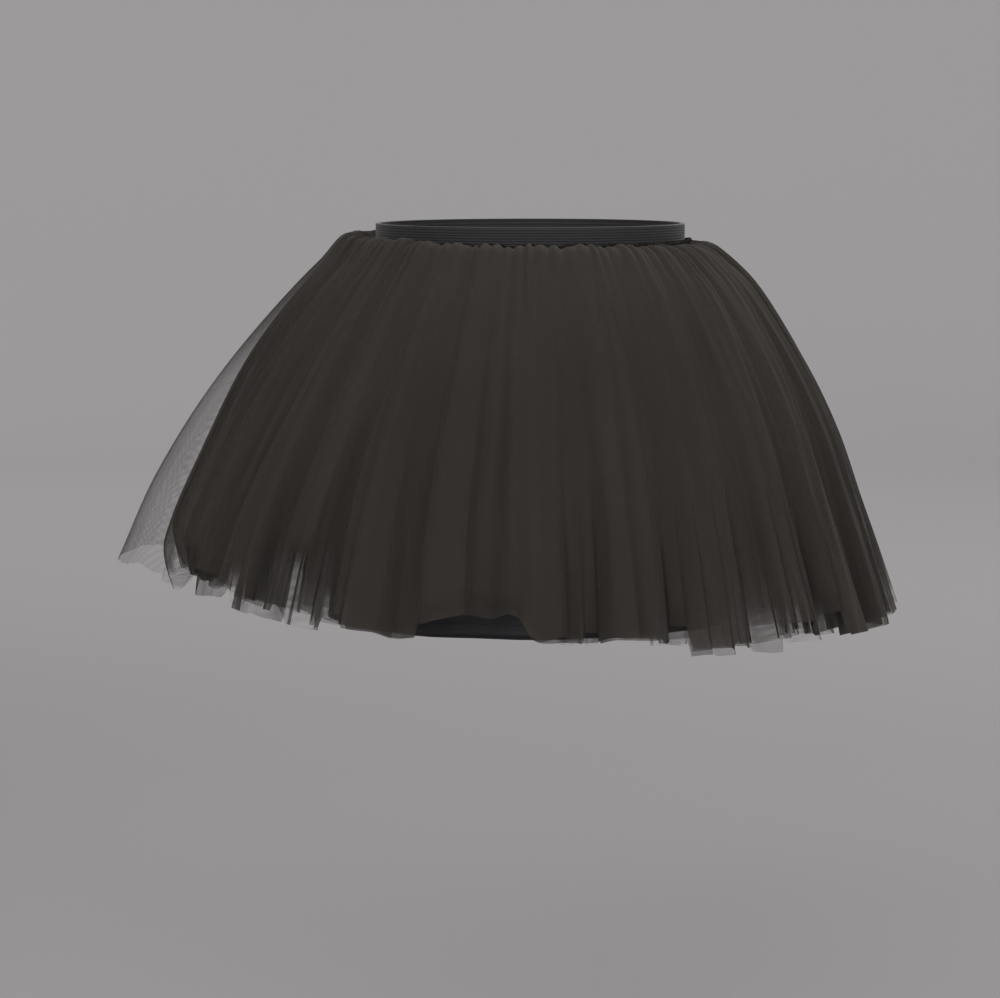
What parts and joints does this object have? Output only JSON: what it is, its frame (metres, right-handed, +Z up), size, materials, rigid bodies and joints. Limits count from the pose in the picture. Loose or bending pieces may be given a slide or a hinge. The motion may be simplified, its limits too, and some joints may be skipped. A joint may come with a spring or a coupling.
{
  "type": "child's ballet tutu",
  "caption": "Child's ballet tutu skirt of gathered black net layers over a satin slip lining, on an elastic waistband, in its hollow worn form.",
  "frame": {"origin": "centre of the waistband, where the wearer's waist holds the skirt up", "axes": "+Z up out of the waist, -Y the front, +X the wearer's left-hand side, which is the right of the front view"},
  "size_m": [0.5167, 0.4359, 0.2668],
  "materials": {
    "black_tulle": "soft matt net, see-through in one thickness",
    "black_satin": "smooth satin weave with a soft sheen",
    "black_elastic": "ribbed woven elastic, matt"
  },
  "bodies": {
    "root": {"waistband": "black_elastic", "lining_front": "black_satin", "lining_back": "black_satin", "tulle_outer_front": "black_tulle", "tulle_outer_back": "black_tulle", "tulle_second_front": "black_tulle", "tulle_second_back": "black_tulle", "tulle_third_front": "black_tulle", "tulle_third_back": "black_tulle", "tulle_inner_front": "black_tulle", "tulle_inner_back": "black_tulle"}
  },
  "joints": []
}
